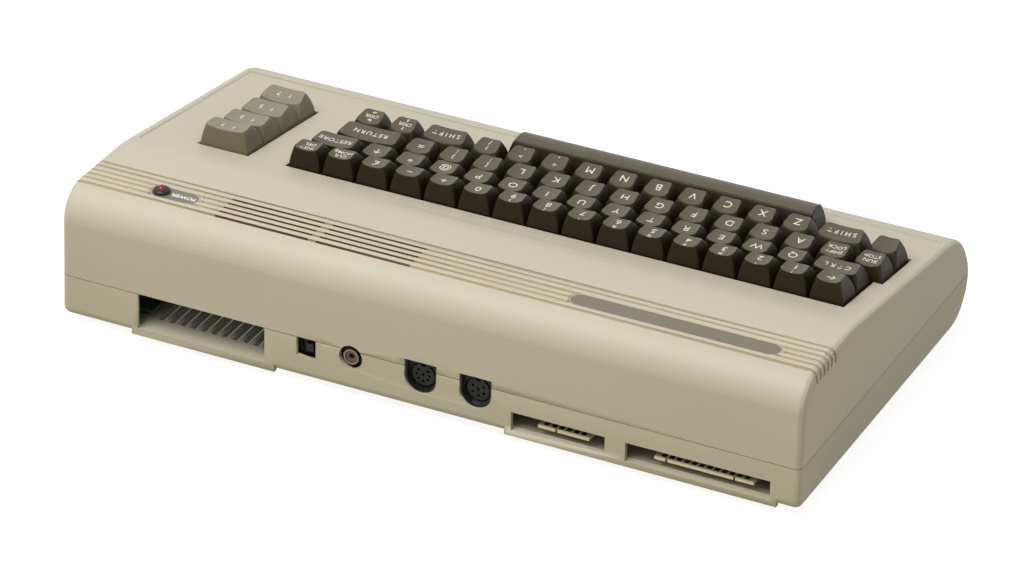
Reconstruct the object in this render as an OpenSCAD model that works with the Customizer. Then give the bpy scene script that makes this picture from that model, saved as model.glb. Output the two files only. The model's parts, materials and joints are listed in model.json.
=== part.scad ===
// Vintage home computer: a wedge-shaped keyboard case with its main board inside.
// +X is the user's right, +Y the rear, +Z up; the origin is under the middle of the case.

/* [Case] */
// Width of the case
case_w = 404; // [396:1:412]
// Depth of the case
case_d = 216; // [214:1:220]
// Height of the crown above the table
crown_z = 75; // [73:0.5:78]
// Height of the joint between the two case halves
seam_z = 27.5; // [26.5:0.5:29]
// Height of the rubber feet
foot_h = 4.5; // [3.5:0.5:5]
// Diameter of the rubber feet
foot_d = 13; // [9:0.5:16]
// Wall thickness of both case halves
wall = 2.6; // [2:0.1:3.2]
// Slope of the keyboard panel, in degrees
tilt = 8; // [7:0.25:9]
// Height of the keyboard panel above the table, at the middle of its depth
panel_z = 67.7; // [67:0.1:68.5]
// How far the keyboard panel lies below its border
panel_sink = 0.7; // [0.3:0.1:1]
// Width of the border at each side of the sunken panel
panel_border = 5.5; // [4:0.5:8]
// Radius of the crown at the rear
crown_r = 18; // [14:1:24]
// Radius of the soft bend behind the keyboard
bend_r = 30; // [20:1:40]
// Radius of the front nose
nose_r = 31; // [28:1:34]
// Radius under the front nose
chin_r = 22; // [20:1:24]
// Radius under the rear edge
heel_r = 5; // [3:0.5:6]
// How far the crown stands in from the rearmost face
rear_lean = 0.8; // [0:0.1:2]
// Rounding of the side edges of the upper half
top_edge = 4.5; // [3:0.5:6]
// Rounding of the side edges of the lower half
low_edge = 2.5; // [1.5:0.5:4]
// Width of the shadow line along the joint
seam_gap = 0.5; // [0.2:0.1:0.8]
// Depth of the shadow line and of the grooves
groove_deep = 1; // [0.6:0.1:1.4]

/* [Grooves and vents] */
// Number of grooves across the top
groove_count = 6; // [6:1:6]
// Spacing of the grooves
groove_step = 4.475; // [4.2:0.1:4.7]
// Width of a groove
groove_w = 1.7; // [1.2:0.1:2.2]
// Distance of the first groove behind the middle
groove_y = 70.4; // [69.5:0.1:71]
// How far the grooves run down the sides
groove_drop = 7.2; // [5:0.2:9]
// Width of a vent slot
vent_w = 1.7; // [1.2:0.1:2.2]
// Length of a vent slot
vent_l = 51.8; // [46:0.2:53]
// Place of the first group of vent slots
vent_x1 = 40.2; // [39:0.2:41]
// Place of the second group of vent slots
vent_x2 = 96.5; // [96:0.2:98]

/* [Plates and lamp] */
// Length of the name plate
plate_l = 111.5; // [100:0.5:116]
// Width of both plates
plate_w = 11.6; // [10:0.2:12.2]
// Thickness of both plates
plate_t = 0.8; // [0.5:0.1:1]
// Place of the name plate
plate_x = -124; // [-128:1:-120]
// Length of the lamp plate
lamp_plate_l = 26.9; // [24:0.1:30]
// Place of the lamp
lamp_x = 157.2; // [154:0.2:160]
// Diameter of the lamp bezel
bezel_d = 8.8; // [8:0.1:10]
// Height of the lamp bezel
bezel_h = 1.9; // [1.2:0.1:2.5]
// Diameter of the lamp
lamp_d = 5; // [4:0.1:5.4]

/* [Keyboard] */
// Key spacing
pitch = 19.05; // [18.9:0.05:19.1]
// Place of the left edge of the key field
keys_x = -186.6; // [-187.6:0.2:-185.6]
// Distance from the middle to the rear edge of the key field, along the panel
keys_v = 25.06; // [24.5:0.1:25.5]
// Place of the left edge of the function keys
fkeys_x = 140.4; // [139:0.2:141.5]
// Gap between neighbouring keycaps at their base
key_gap = 0.85; // [0.6:0.05:1.2]
// How far a key travels
key_travel = 3.8; // [3:0.1:4]
// Depth of a keycap's skirt below the panel
skirt = 3.5; // [3:0.1:3.8]
// How far a cap's side walls lean in at each side
cap_lean = 3; // [2.6:0.1:3.4]
// Depth of the hollow in a keycap's top
dish = 1.1; // [0.6:0.1:1.5]
// Wall thickness of a keycap
cap_wall = 1.3; // [1:0.1:1.6]
// Side of a key's square stem
stem = 4.2; // [3.6:0.1:4.4]
// Clearance of a stem in its guide, at each side
stem_play = 0.25; // [0.15:0.05:0.4]
// Room between the keycaps and the panel opening
open_gap = 0.6; // [0.4:0.1:1]
// Depth of the keyboard frame below the panel
frame_drop = 8; // [7.8:0.1:8.4]
// Thickness of the keyboard frame
frame_t = 3; // [2.5:0.1:3.4]
// Thickness of both circuit boards
board_t = 1.6; // [1.2:0.1:2]
// Diameter of the wire under the space bar
wire_d = 1.6; // [1.2:0.1:1.8]

/* [Rear ports] */
// Width of the cartridge bay
bay_w = 72; // [70:0.2:73]
// Place of the cartridge bay
bay_x = 122.5; // [121.9:0.1:123.1]
// Height of the floor of the cartridge bay
bay_floor = 8; // [7.8:0.1:9]
// Depth of the cartridge bay
bay_deep = 28; // [24:1:30]
// Width of the cassette port
tape_w = 50.4; // [48:0.2:52]
// Place of the cassette port
tape_x = -74.6; // [-75.5:0.1:-73.5]
// Width of the user port
user_w = 76.3; // [74:0.1:77]
// Place of the user port
user_x = -148.8; // [-149.5:0.1:-148]
// Height of the lower edge of both board ports
slot_z = 7; // [6.8:0.1:7.4]
// Height of the opening of both board ports
slot_h = 10.4; // [10:0.1:11]
// Width of a round socket's opening
din_w = 17.6; // [17.2:0.1:18.4]
// Height of the middle of the round sockets
din_z = 22.8; // [22.4:0.1:23.2]
// Height of a socket opening above its middle
din_up = 8.6; // [8:0.1:9]
// Place of the picture and sound socket
av_x = 0.2; // [-0.5:0.1:1]
// Place of the serial socket
serial_x = -29.8; // [-30.5:0.1:-29]
// How far the socket faces lie behind the rear face
din_sink = 3.8; // [3:0.1:4.2]
// Place of the aerial jack
jack_x = 38.5; // [37.5:0.1:39.5]
// Height of the aerial jack
jack_z = 23.9; // [23.5:0.1:24.5]
// Diameter of the hole round the aerial jack
jack_hole = 12.8; // [12.4:0.1:13.4]
// Diameter of the aerial jack's ring
jack_d = 8.4; // [8:0.1:9]
// Place of the channel switch
chan_x = 63.4; // [63:0.1:64]
// Width of the channel switch opening
chan_w = 11; // [10:0.1:12]
// Lower edge of the channel switch opening
chan_z = 17.3; // [17:0.1:18]
// Travel of the channel switch
chan_travel = 3.2; // [2:0.1:3.6]

/* [Side ports] */
// Distance of the first game port in front of the middle
game_y1 = -36; // [-38:0.5:-34]
// Place of the second game port
game_y2 = 4; // [2:0.5:5]
// Length of a game port's opening
game_l = 33; // [32:0.5:34]
// Height of a game port's opening
game_h = 14; // [13.5:0.1:14.5]
// Height of the middle of the side ports
side_z = 18.2; // [18:0.1:18.6]
// Place of the power switch
power_y = 38; // [36:0.5:40]
// Length of the power switch opening
rocker_l = 21; // [19:0.5:23]
// Height of the power switch opening
rocker_h = 13; // [12:0.5:13.5]
// Tilt of the power rocker at each side, in degrees
rocker_deg = 9; // [6:0.5:10]
// Place of the power socket
inlet_y = 66; // [65:0.5:67]
// Diameter of the power socket's opening
inlet_d = 15.6; // [15:0.1:16]

/* [Main board] */
// Height of the underside of the main board
board_z = 11.4; // [11.2:0.1:11.6]
// Distance from the board's plain rear edge to the rear face
board_back = 11; // [10:0.5:12.5]
// Distance of the board's front edge in front of the middle
board_front = 52; // [50:1:56]
// Distance from the ends of the contact tongues to the rear face
tongue_back = 2.2; // [1.6:0.1:3]
// Spacing of the edge contacts
contact_step = 3.96; // [3.9:0.01:4]

/* [Hidden] */
$fn = 64;
eps = 0.01;
fit = 0.1;
hw = case_w / 2;
rear_y = case_d / 2;
base_z = foot_h;
floor_z = base_z + wall;
slope_d = (panel_z + panel_sink / cos(tilt)) * cos(tilt);
crown_c = [rear_y - rear_lean - crown_r, crown_z - crown_r];
heel_c = [rear_y - heel_r, base_z + heel_r];
bend_c = [((crown_z - bend_r) * cos(tilt) + bend_r - slope_d) / sin(tilt), crown_z - bend_r];
nose_c = [nose_r - rear_y, (slope_d - nose_r - (rear_y - nose_r) * sin(tilt)) / cos(tilt)];
chin_c = [chin_r - rear_y, base_z + chin_r];
edge_x = 3.5;

// The outer form of both halves, drawn in from the outside by some distance. The nose is rounder
// above its middle than below it, so only the upper part of its circle counts.
module rounded_case(inset) {
    circles = [[crown_c, crown_r, top_edge], [heel_c, heel_r, low_edge], [bend_c, bend_r, top_edge],
        [chin_c, chin_r, low_edge]];
    hull()
        for (side = [0, 1], turn = [0 : 22.5 : 90]) mirror([side, 0, 0]) {
            across = hw - inset - edge_x * (1 - sin(turn));
            for (c = circles) case_disc(across, c[0], c[1] - inset - c[2] * (1 - cos(turn)));
            nose_slice(across, nose_r - inset - top_edge * (1 - cos(turn)));
        }
}
// The slices taper a little outwards, so that no three corners of the hull lie on one line.
module case_disc(across, centre, r) translate([across, centre[0], centre[1]]) rotate([0, 90, 0])
    cylinder(r1 = max(r, 0.5), r2 = max(r, 0.5) - eps, h = eps, center = true, $fn = 48);
module nose_slice(across, r) translate([across, nose_c[0], nose_c[1]]) rotate([90, 0, 90])
    linear_extrude(eps, center = true, scale = 1 - eps / r)
        polygon([for (a = [7.5 : 7.5 : 172.5]) r * [cos(a), sin(a)]]);

module above_seam() translate([-hw - 10, -rear_y - 10, seam_z]) cube([case_w + 20, case_d + 20, 100]);
module below_seam() translate([-hw - 10, -rear_y - 10, seam_z - 100]) cube([case_w + 20, case_d + 20, 100]);

// The panel's own frame: its z is the distance above the sunken panel.
module on_panel() translate([0, 0, panel_z]) rotate([tilt, 0, 0]) children();

// Key field: widths in key units from the user's left, row by row from the rear.
row_start = [0, 0, -0.25, -0.25, 2.5];
row_units = [[for (i = [1 : 16]) 1], [1.5, for (i = [1 : 13]) 1, 1.5], [for (i = [1 : 14]) 1, 2],
    [1, 1.5, for (i = [1 : 10]) 1, 1.5, 1, 1], [9]];
// Height of each row's caps above the panel at the rear and front edges of their tops, and how far
// the rear and front walls lean in there. The tops stand towards the rear, as on a stepped keyboard.
cap_rear = [11.7, 9, 7.9, 8.4];
cap_front = [12.8, 10.8, 10.8, 12.3];
rear_in = [-1, 0, 1.3, 2.6];
front_in = [9.5, 7.4, 5.6, 5.9];
roof_max = 7.8;
function cap_roof(row) = min(roof_max, cap_rear[row] - dish - cap_wall);
function sum_to(list, n) = n <= 0 ? 0 : list[n - 1] + sum_to(list, n - 1);
function key_x(row, i) = keys_x + pitch * (row_start[row] + sum_to(row_units[row], i) + row_units[row][i] / 2);
function key_v(row) = keys_v - pitch * (row + 0.5);
fkey_x = fkeys_x + 0.75 * pitch;
stems = [for (r = [0 : 3], i = [0 : len(row_units[r]) - 1]) [key_x(r, i), key_v(r)],
    for (r = [0 : 3]) [fkey_x, key_v(r)], [key_x(4, 0), key_v(4)]];
bar_guide = 62;
bar_guides = [for (s = [-1, 1]) [key_x(4, 0) + s * bar_guide, key_v(4)]];

// Radius of a wall that is upright at its base and leans in by some length at some height.
function wall_r(lean, at) = (lean * lean + pow(at + skirt, 2)) / (2 * lean);
function lean_at(lean, at, w) = lean <= 0 ? 0
    : wall_r(lean, at) - sqrt(pow(wall_r(lean, at), 2) - pow(w + skirt, 2));

// Cross-section of a cap; leans and heights are given for its lower and its upper end along the axis.
module cap_section(half, leans, at) {
    top = max(at) + 3;
    slack = [for (i = [0, 1]) -min(leans[i], 0) * (top + skirt) / (at[i] + skirt)];
    difference() {
        polygon([[-half, -skirt], [half, -skirt], [half + slack[1], top], [-half - slack[0], top]]);
        for (i = [0, 1]) if (leans[i] > 0) difference() {
            side = 2 * i - 1;
            r = wall_r(leans[i], at[i]);
            translate([side * half - r / 2, -skirt - 1]) square([r, top + skirt + 2]);
            translate([side * (half - r), -skirt]) circle(r = r, $fn = 256);
        }
    }
}
module cap_hollow(half, leans, at, roof, long) {
    in = [for (i = [0, 1]) cap_wall + lean_at(leans[i], at[i], roof)];
    rotate([90, 0, 0]) linear_extrude(long, center = true)
        polygon([[-half + cap_wall, -skirt - 1], [half - cap_wall, -skirt - 1],
            [half - cap_wall, -skirt + 1], [half - in[1], roof], [in[0] - half, roof],
            [-half + cap_wall, -skirt + 1]]);
}
module key_stem(top) {
    foot_z = -frame_drop - frame_t - 0.3;
    translate([-stem / 2, -stem / 2, foot_z - 1]) cube([stem, stem, top - foot_z]);
    translate([-stem / 2 - 1.5, -stem / 2 - 1.5, foot_z - 2]) cube([stem + 3, stem + 3, 2]);
}
// A keycap with its plunger, standing on the middle of its place in the field.
module keycap(units, row) {
    half = (units * pitch - key_gap) / 2;
    half_v = (pitch - key_gap) / 2;
    w = [cap_front[row], cap_rear[row]];
    in = [front_in[row], rear_in[row]];
    edge_v = [in[0] - half_v, half_v - in[1]];
    turn = atan2(w[1] - w[0], edge_v[1] - edge_v[0]);
    side_w = (w[0] + w[1]) / 2;
    dish_half = half - cap_lean;
    dish_r = (dish_half * dish_half + dish * dish) / (2 * dish);
    difference() {
        intersection() {
            rotate([90, 0, 0]) linear_extrude(2 * pitch, center = true)
                cap_section(half, [cap_lean, cap_lean], [side_w, side_w]);
            rotate([90, 0, 90]) linear_extrude(2 * half + 1, center = true) cap_section(half_v, in, w);
        }
        translate([0, edge_v[0], w[0]]) rotate([turn, 0, 0]) {
            translate([-half - 5, -pitch, 0]) cube([2 * half + 10, 3 * pitch, 20]);
            translate([0, 0, dish_r - dish]) rotate([90, 0, 0])
                cylinder(r = dish_r, h = 4 * pitch, center = true, $fn = 128);
        }
        intersection() {
            cap_hollow(half, [cap_lean, cap_lean], [side_w, side_w], cap_roof(row), pitch);
            rotate([0, 0, 90]) cap_hollow(half_v, in, w, cap_roof(row), 2 * half);
        }
    }
    key_stem(cap_roof(row) + 1.3);
}
module key(row, i) on_panel() translate([key_x(row, i), key_v(row), 0]) keycap(row_units[row][i], row);
module function_key(row) color([0.5, 0.48, 0.39]) on_panel()
    translate([fkey_x, key_v(row), 0]) keycap(1.5, row);
module dark() color([0.25, 0.22, 0.16]) children();

module number_keys() dark() for (i = [0 : 13]) key(0, i);
module home_key() dark() key(0, 14);
module delete_key() dark() key(0, 15);
module control_key() dark() key(1, 0);
module upper_letter_keys() dark() for (i = [1 : 13]) key(1, i);
module restore_key() dark() key(1, 14);
module run_stop_key() dark() key(2, 0);
module shift_lock_key() dark() key(2, 1);
module middle_letter_keys() dark() for (i = [2 : 13]) key(2, i);
module return_key() dark() key(2, 14);
module corner_key() dark() key(3, 0);
module left_shift_key() dark() key(3, 1);
module lower_letter_keys() dark() for (i = [2 : 11]) key(3, i);
module right_shift_key() dark() key(3, 12);
module cursor_down_key() dark() key(3, 13);
module cursor_right_key() dark() key(3, 14);
module function_key_1() function_key(0);
module function_key_2() function_key(1);
module function_key_3() function_key(2);
module function_key_4() function_key(3);

// The space bar has a crowned top, three stems and two lugs for its levelling wire.
bar_top = 11.6;
bar_roof = bar_top - 2.5 - 2 * cap_wall;
bar_in = [3.4, 3.4];
bar_r = 15;
wire_arm = 10;
wire_v = key_v(4) - 4.9;
wire_w = -frame_drop + 4.2;
wire_x = 45;
wire_swing = asin(key_travel / 2 / wire_arm);
lug_t = 2;
module space_bar() dark() on_panel() translate([key_x(4, 0), key_v(4), 0]) {
    half = (9 * pitch - key_gap) / 2;
    half_v = (pitch - key_gap) / 2;
    difference() {
        intersection() {
            rotate([90, 0, 0]) linear_extrude(pitch, center = true)
                cap_section(half, [cap_lean, cap_lean], [bar_top, bar_top]);
            rotate([90, 0, 90]) linear_extrude(2 * half + 1, center = true)
                cap_section(half_v, bar_in, [bar_top, bar_top]);
            translate([0, -1, bar_top - bar_r]) rotate([0, 90, 0])
                cylinder(r = bar_r, h = case_w, center = true, $fn = 128);
        }
        intersection() {
            cap_hollow(half, [cap_lean, cap_lean], [bar_top, bar_top], bar_roof, pitch);
            rotate([0, 0, 90]) cap_hollow(half_v, bar_in, [bar_top, bar_top], bar_roof, 2 * half);
        }
    }
    for (x = [-bar_guide, 0, bar_guide]) translate([x, 0, 0]) key_stem(bar_top - 3);
    // Lugs with a slot for each end of the wire.
    tip = [wire_v - key_v(4) + wire_arm * cos(wire_swing), wire_w + key_travel / 2];
    for (s = [-1, 1]) difference() {
        translate([s * (wire_x - 3) - lug_t / 2, tip[0] - 3.2, tip[1] - wire_d / 2 - 1])
            cube([lug_t, 6, bar_top - 4 - tip[1]]);
        translate([s * (wire_x - 3) - lug_t, tip[0] - 2, tip[1] - wire_d / 2 - fit])
            cube([2 * lug_t, 3.6, wire_d + 2 * fit]);
    }
}
module space_bar_wire() color([0.7, 0.7, 0.72]) on_panel() translate([key_x(4, 0), wire_v, wire_w])
    rotate([wire_swing, 0, 0]) {
        rotate([0, 90, 0]) cylinder(d = wire_d, h = 2 * wire_x, center = true);
        for (s = [-1, 1]) {
            translate([s * wire_x, 0, 0]) {
                sphere(d = wire_d);
                rotate([-90, 0, 0]) cylinder(d = wire_d, h = wire_arm);
            }
            translate([s * wire_x, wire_arm, 0]) {
                sphere(d = wire_d);
                rotate([0, -s * 90, 0]) cylinder(d = wire_d, h = 4.5);
            }
        }
    }

// ---- Keyboard frame and its parts ----
frame_x = [keys_x - 9, fkeys_x + 1.5 * pitch + 7];
frame_v = [key_v(4) - 19, keys_v + 11];
board_w = -frame_drop - frame_t - 0.3 - 2 - key_travel - 0.3;
rim_t = 2;
screw_d = 2.8;
boss_d = 6.4;
front_boss_v = frame_v[0] + 4.2;
rear_boss_v = frame_v[1] - 4.6;
gap_x = (keys_x + 16 * pitch + fkeys_x) / 2;
panel_posts = [[-165, rear_boss_v], [-60, rear_boss_v], [50, rear_boss_v], [gap_x, rear_boss_v],
    [-165, front_boss_v], [-60, front_boss_v], [50, front_boss_v], [gap_x, front_boss_v]];
board_posts = [for (x = [-150, -74, 2, 78], n = [1, 3]) [x, keys_v - n * pitch]];
under_panel = -wall + panel_sink;

module keyboard_frame() color([0.16, 0.15, 0.13]) on_panel() {
    difference() {
        union() {
            translate([frame_x[0], frame_v[0], -frame_drop - frame_t])
                cube([frame_x[1] - frame_x[0], frame_v[1] - frame_v[0], frame_t]);
            difference() {
                translate([frame_x[0], frame_v[0], board_w])
                    cube([frame_x[1] - frame_x[0], frame_v[1] - frame_v[0],
                        -frame_drop - frame_t - board_w + eps]);
                translate([frame_x[0] + rim_t, frame_v[0] + 8, board_w - 1])
                    cube([frame_x[1] - frame_x[0] - 2 * rim_t, frame_v[1] - frame_v[0] - 17, 20]);
            }
            for (p = board_posts) translate([p[0], p[1], board_w])
                cylinder(d = boss_d - 1.4, h = -frame_drop - frame_t - board_w + eps);
            for (s = [-1, 1]) translate([key_x(4, 0) + s * 30 - 2, wire_v - 1.3, -frame_drop - eps])
                cube([4, 3, wire_w + frame_drop + 1.3]);
        }
        for (p = concat(stems, bar_guides)) translate([p[0], p[1], -frame_drop - frame_t / 2])
            cube([stem + 2 * stem_play, stem + 2 * stem_play, frame_t + 2], center = true);
        for (p = panel_posts) {
            translate([p[0], p[1], board_w - 1]) cylinder(d = screw_d + 0.6, h = 30);
            translate([p[0], p[1], board_w - 1]) cylinder(d = 6.2, h = -frame_drop - frame_t - board_w + 1);
        }
        for (p = board_posts) translate([p[0], p[1], board_w - 1]) cylinder(d = screw_d + fit, h = 6.5);
        for (s = [-1, 1]) translate([key_x(4, 0) + s * 30, wire_v, wire_w]) rotate([0, 90, 0])
            cylinder(d = wire_d + 0.1, h = 10, center = true);
    }
}
module keyboard_board() color([0.55, 0.45, 0.25]) on_panel() difference() {
    translate([frame_x[0] + 1, frame_v[0] + 9, board_w - board_t])
        cube([frame_x[1] - frame_x[0] - 2, frame_v[1] - frame_v[0] - 18.5, board_t]);
    for (p = board_posts) translate([p[0], p[1], board_w - 5]) cylinder(d = screw_d + 0.6, h = 10);
}
module pan_screw(shank, head_d = 5.4, head_h = 2) {
    translate([0, 0, -head_h]) cylinder(d = head_d, h = head_h);
    translate([0, 0, -eps]) cylinder(d = screw_d, h = shank + eps);
}
module keyboard_screws() color([0.75, 0.75, 0.75]) on_panel() {
    for (p = panel_posts) translate([p[0], p[1], -frame_drop - frame_t]) pan_screw(frame_t + 4.5);
    for (p = board_posts) translate([p[0], p[1], board_w - board_t]) pan_screw(board_t + 4.5, head_d = 5);
}
module key_springs() color([0.7, 0.7, 0.72]) on_panel() {
    for (p = stems) {
        row = round((keys_v - p[1]) / pitch - 0.5);
        roof = row > 3 ? bar_roof : cap_roof(row);
        translate([p[0], p[1], -frame_drop]) difference() {
            cylinder(d = 7.4, h = roof - key_travel + frame_drop - 0.3);
            translate([0, 0, -1]) cylinder(d = 6.4, h = 40);
        }
    }
}
module shift_lock_switch() color([0.2, 0.2, 0.2]) on_panel() translate([key_x(2, 1), key_v(2), board_w + 0.1])
    difference() {
        tall = -frame_drop - frame_t - board_w - 0.2;
        translate([-7, -6.5, 0]) cube([14, 13, tall]);
        translate([-stem / 2 - 2, -stem / 2 - 2, -1]) cube([stem + 4, stem + 4, tall + 2]);
    }

// A band of even thickness along a smooth curve through four control points, seen from the side.
function mix(a, b, t) = a + t * (b - a);
function curve(p, t) = len(p) == 1 ? p[0] : curve([for (i = [0 : len(p) - 2]) mix(p[i], p[i + 1], t)], t);
function across(p, t) = let (v = curve([for (i = [0 : 2]) p[i + 1] - p[i]], t)) [-v[1], v[0]] / norm(v);
module band(p, thick, wide) {
    steps = [for (t = [0 : 0.05 : 1.001]) min(t, 1)];
    left = [for (t = steps) curve(p, t) + thick / 2 * across(p, t)];
    right = [for (t = steps) curve(p, t) - thick / 2 * across(p, t)];
    translate([-wide / 2, 0, 0]) rotate([90, 0, 90]) linear_extrude(wide)
        polygon(concat(left, [for (i = [len(right) - 1 : -1 : 0]) right[i]]));
}
cable_x = 5;
cable_w = 50;
plug_y = 10 - board_front;
plug_h = 6.5;
board_top = board_z + board_t;
board_rear = rear_y - board_back;
tongue_y = rear_y - tongue_back;
cable_v = -14;
cable_top = [cable_v * cos(tilt) - (board_w - board_t) * sin(tilt),
    panel_z + cable_v * sin(tilt) + (board_w - board_t) * cos(tilt)];
module keyboard_cable() color([0.75, 0.74, 0.7]) translate([cable_x, 0, 0])
    band([cable_top - [0, 0.2], cable_top - [0, 12], [plug_y, 34], [plug_y, board_top + plug_h]],
        1.2, cable_w);
module keyboard_plug() color([0.85, 0.84, 0.8])
    translate([cable_x - cable_w / 2 - 2, plug_y - 3, board_top]) cube([cable_w + 4, 6, plug_h]);
lamp_y = groove_y + 3 * groove_step;
lamp_base = crown_z - 6.5;
lamp_plug_y = board_rear - 63;
module lamp_wires() color([0.2, 0.2, 0.2]) {
    for (s = [-1, 1]) translate([lamp_x + s * 1.3, 0, 0])
        band([[lamp_y, lamp_base], [lamp_y, 45], [lamp_plug_y, 52], [lamp_plug_y, board_top + plug_h - 0.5]],
            1.2, 1.2);
    translate([lamp_x - 4, lamp_plug_y - 3, board_top]) cube([8, 6, plug_h]);
}

// ---- Case halves ----
module round_bar(length, wide, tall) {
    translate([-(length - wide) / 2, -wide / 2, 0]) cube([length - wide, wide, tall]);
    for (s = [-1, 1]) translate([s * (length - wide) / 2, 0, 0]) cylinder(d = wide, h = tall);
}
lamp_plate_x = lamp_x + plate_w / 2 - lamp_plate_l / 2;
plates = [[plate_x, plate_l], [lamp_plate_x, lamp_plate_l]];
module u_hole(extra = 0) translate([0, -5, 0]) rotate([-90, 0, 0]) linear_extrude(10) {
    circle(d = din_w + 2 * extra);
    translate([-din_w / 2 - extra, -din_up - extra]) square([din_w + 2 * extra, din_up + extra]);
}
module rear_cuts() {
    for (x = [av_x, serial_x]) translate([x, rear_y, din_z]) u_hole();
    translate([jack_x, rear_y, jack_z]) rotate([90, 0, 0]) cylinder(d = jack_hole, h = 12, center = true);
}
module field(rows, left, right) {
    translate([left - open_gap, keys_v - (rows[1] + 1) * pitch - open_gap, -30])
        cube([right - left + 2 * open_gap,
            (rows[1] - rows[0] + 1) * pitch + open_gap + (rows[0] == 0 ? 1 : 0.6), 60]);
}
module key_openings() on_panel() {
    field([0, 1], keys_x, keys_x + 16 * pitch);
    field([2, 3], keys_x - 0.25 * pitch, keys_x + 15.75 * pitch);
    field([3, 4], keys_x + row_start[4] * pitch, keys_x + (row_start[4] + 9) * pitch);
    field([0, 3], fkeys_x, fkeys_x + 1.5 * pitch);
}
screw_y = 24 - rear_y;
case_screws_at = [for (x = [-170, 0, 170]) [x, screw_y]];
// The screw posts of the upper half end inside its wall.
post_top = nose_c[1] + sqrt(pow(nose_r - wall, 2) - pow(screw_y - nose_c[0], 2)) + 0.9;
head_deep = 5;
module upper_case() color([0.78, 0.75, 0.66]) {
    difference() {
        intersection() {
            rounded_case(0);
            above_seam();
        }
        rounded_case(wall);
        difference() {
            union() {
                translate([-hw - 5, -rear_y - 5, seam_z - 1])
                    cube([case_w + 10, case_d + 10, 1 + seam_gap / 2]);
                for (i = [0 : groove_count - 1]) difference() {
                    translate([-hw - 5, groove_y + i * groove_step - groove_w / 2, crown_z - groove_drop])
                        cube([case_w + 10, groove_w, 20]);
                    if (i > 1 && i < groove_count - 1)
                        for (p = plates) translate([p[0], lamp_y, crown_z - 5])
                            round_bar(p[1] + 3.4, plate_w + 3.4, 20);
                }
            }
            rounded_case(groove_deep);
        }
        // The sunken keyboard panel.
        intersection() {
            on_panel() translate([-hw + panel_border, -200, 0]) cube([case_w - 2 * panel_border, 400, 10]);
            translate([-hw, -81, 0]) cube([case_w, 118.5, 200]);
        }
        key_openings();
        for (i = [1 : groove_count - 1], x = [vent_x1, vent_x2])
            translate([x - vent_l / 2, groove_y + i * groove_step - vent_w / 2, crown_z - 9])
                cube([vent_l, vent_w, 12]);
        for (p = plates) translate([p[0], lamp_y, crown_z - plate_t - 0.25])
            round_bar(p[1] + 0.3, plate_w + 0.3, 5);
        translate([lamp_x, lamp_y, crown_z - 10]) cylinder(d = lamp_d + 2.2, h = 12);
        rear_cuts();
    }
    for (p = case_screws_at) difference() {
        translate([p[0], p[1], seam_z]) cylinder(d = 8, h = post_top - seam_z);
        translate([p[0], p[1], seam_z - 1]) cylinder(d = screw_d + fit, h = 19);
    }
    on_panel() for (p = panel_posts) difference() {
        translate([p[0], p[1], -frame_drop]) cylinder(d = boss_d, h = frame_drop + under_panel + 0.5);
        translate([p[0], p[1], -frame_drop - 1]) cylinder(d = screw_d + fit, h = 6);
    }
}
flange_z = base_z - 0.5;
port_left = user_x - user_w / 2;
port_right = tape_x + tape_w / 2;
bay_side = bay_w / 2;
bay_jamb = 3.5;
flange_top = base_z + heel_r + 0.5;
floor_front = 58;
bay_slot = 3.3;
bay_slot_step = 6;
bay_slot_x = bay_x - 0.7;
screw_front = 8 - board_front;
board_screws_at = [[17 - hw, board_rear - 37], [17 - hw, screw_front], [-40, screw_front],
    [-42, board_rear - 37], [78, board_rear - 87], [82, screw_front], [hw - 34, screw_front]];
module lower_case() color([0.68, 0.65, 0.55]) difference() {
    union() {
        difference() {
            intersection() {
                rounded_case(0);
                below_seam();
            }
            rounded_case(wall);
            difference() {
                translate([-hw - 5, -rear_y - 5, seam_z - seam_gap / 2]) cube([case_w + 10, case_d + 10, 5]);
                rounded_case(groove_deep);
            }
        }
        // Frames round the ports, standing out of the rounded lower edge.
        translate([port_left - bay_jamb, rear_y - wall, flange_z])
            cube([port_right - port_left + 2 * bay_jamb, wall, flange_top - flange_z]);
        translate([bay_x - bay_side - bay_jamb - 2, rear_y - wall, flange_z])
            cube([bay_w + 2 * bay_jamb + 2, wall, flange_top - flange_z]);
        translate([bay_x - bay_side - bay_jamb, floor_front, base_z])
            cube([bay_w + 2 * bay_jamb, rear_y - floor_front - 1, bay_floor - base_z]);
        for (p = case_screws_at) translate([p[0], p[1], base_z + 1]) cylinder(d = 8, h = seam_z - base_z - 1);
        for (p = board_screws_at) translate([p[0], p[1], base_z + 1])
            cylinder(d = boss_d, h = board_z - base_z - 1);
    }
    translate([bay_x - bay_side, rear_y - wall - 3, bay_floor]) cube([bay_w, 10, 40]);
    translate([port_left, rear_y - wall - 1, slot_z]) cube([user_w, 10, slot_h]);
    translate([tape_x - tape_w / 2, rear_y - wall - 1, slot_z]) cube([tape_w, 10, slot_h]);
    translate([chan_x - chan_w / 2, rear_y - wall - 1, chan_z]) cube([chan_w, 10, 30]);
    rear_cuts();
    // Air slots through the floor of the bay, with ribs between them.
    for (n = [-5 : 5]) translate([bay_slot_x + n * bay_slot_step - bay_slot / 2, floor_front + 4, base_z - 1])
        cube([bay_slot, rear_y - 16.5 - floor_front, 10]);
    for (y = [game_y1, game_y2]) translate([hw - 10, y - game_l / 2, side_z - game_h / 2])
        cube([20, game_l, game_h]);
    translate([hw - 10, power_y - rocker_l / 2, side_z - rocker_h / 2]) cube([20, rocker_l, rocker_h]);
    translate([hw - 10, inlet_y, side_z]) rotate([0, 90, 0]) cylinder(d = inlet_d, h = 20);
    for (p = case_screws_at) {
        translate([p[0], p[1], base_z - 1]) cylinder(d = 6.4, h = head_deep + 1);
        translate([p[0], p[1], base_z - 1]) cylinder(d = screw_d + 0.4, h = 40);
    }
    for (p = board_screws_at) translate([p[0], p[1], base_z + 1.5]) cylinder(d = screw_d + fit, h = 10);
}
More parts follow.
